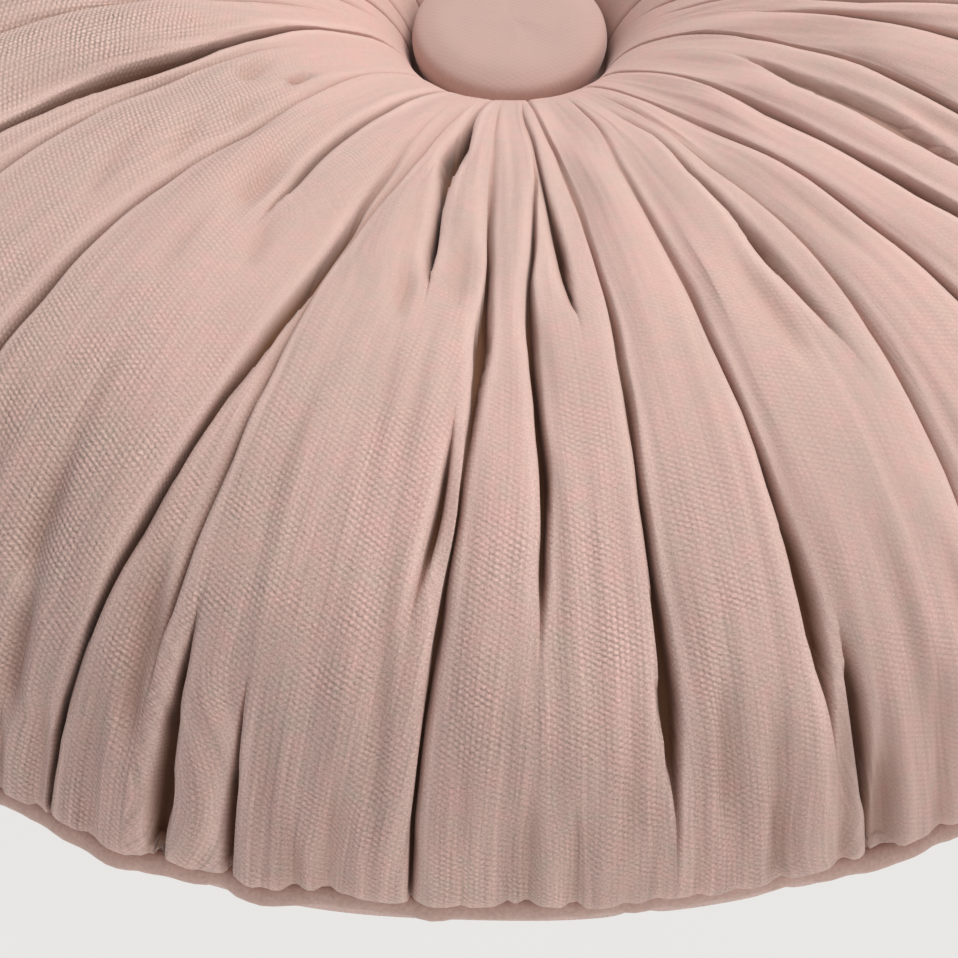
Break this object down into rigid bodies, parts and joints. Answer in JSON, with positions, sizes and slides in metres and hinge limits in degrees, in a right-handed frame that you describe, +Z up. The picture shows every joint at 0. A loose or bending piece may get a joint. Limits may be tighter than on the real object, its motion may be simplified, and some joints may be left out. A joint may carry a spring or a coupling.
{
  "type": "round gathered scatter cushion",
  "caption": "Round filled cushion with cloth gathered into radial folds under a covered button on each face, and a piped seam round its edge, lying on its back.",
  "frame": {"origin": "on the surface that the cushion rests on, under its centre", "axes": "+Z up through both buttons, out of the front face; -Y towards the side nearest the viewer, +X to the viewer's right"},
  "size_m": [0.4, 0.4, 0.11],
  "materials": {
    "cover_cloth": "dusty rose slubby cotton, plain weave with a short soft nap, matt",
    "piping_cloth": "the same cotton cut on the bias round a cord, matt",
    "button_cloth": "the same cotton drawn smooth over a domed button, matt"
  },
  "bodies": {
    "root": {"cushion": "cover_cloth", "piping": "piping_cloth", "button_front": "button_cloth", "button_back": "button_cloth"}
  },
  "joints": []
}
